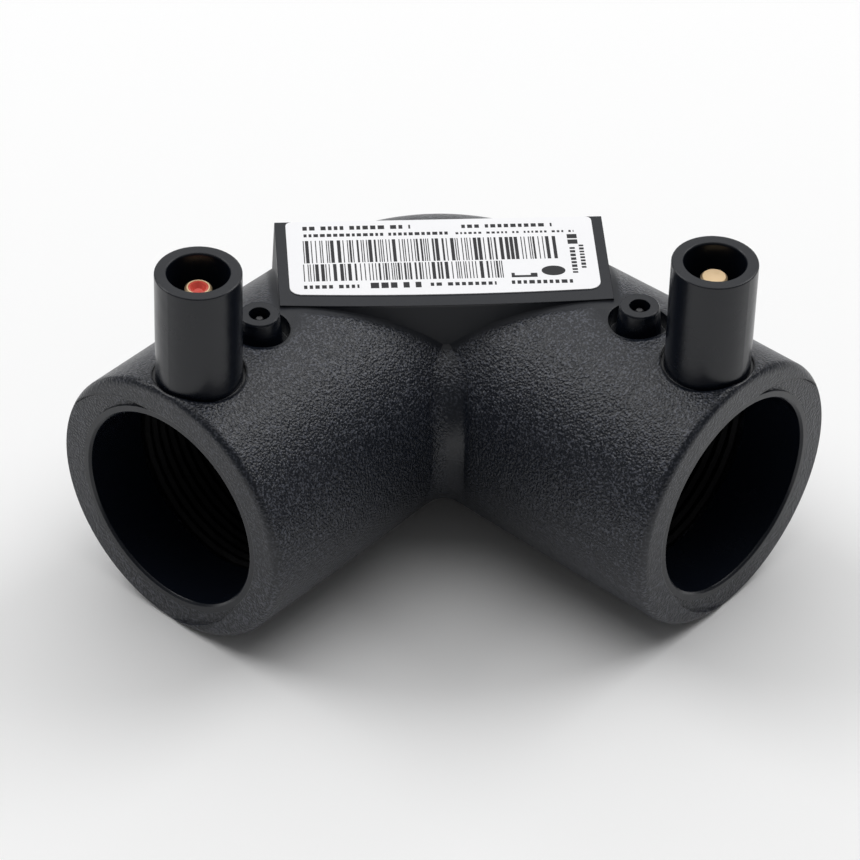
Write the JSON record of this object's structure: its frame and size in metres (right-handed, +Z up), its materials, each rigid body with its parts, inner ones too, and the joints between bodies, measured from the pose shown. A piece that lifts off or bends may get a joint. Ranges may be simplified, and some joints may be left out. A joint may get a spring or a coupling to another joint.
{
  "type": "electrofusion elbow",
  "caption": "Black polyethylene 90 degree electrofusion elbow with deep sockets, coated heating coils, shrouded contact pins, fusion indicators and a flat label plate.",
  "frame": {"origin": "middle of the bounding box at its underside: z = 0 is the underside of the sockets", "axes": "+X out of the right socket, -Y out of the left socket, +Z up along the terminal shrouds and out of the label plate"},
  "size_m": [0.0816, 0.0816, 0.0617],
  "materials": {
    "black_polyethylene": "finely eroded black polyethylene, smooth on the plate, shrouds and bosses",
    "coated_wire": "resistance wire in a smooth black polyethylene coat",
    "pin_brass": "turned, pale plated brass",
    "red_plastic": "smooth red moulding",
    "indicator_plastic": "smooth black moulding",
    "label_film": "white printed film, satin"
  },
  "bodies": {
    "root": {"elbow_body": "black_polyethylene", "coil_right": "coated_wire", "coil_left": "coated_wire", "link_wire": "coated_wire", "pin_right": "pin_brass", "pin_left": "pin_brass", "pin_insert": "red_plastic", "indicator_right": "indicator_plastic", "indicator_left": "indicator_plastic", "label": "label_film"}
  },
  "joints": []
}
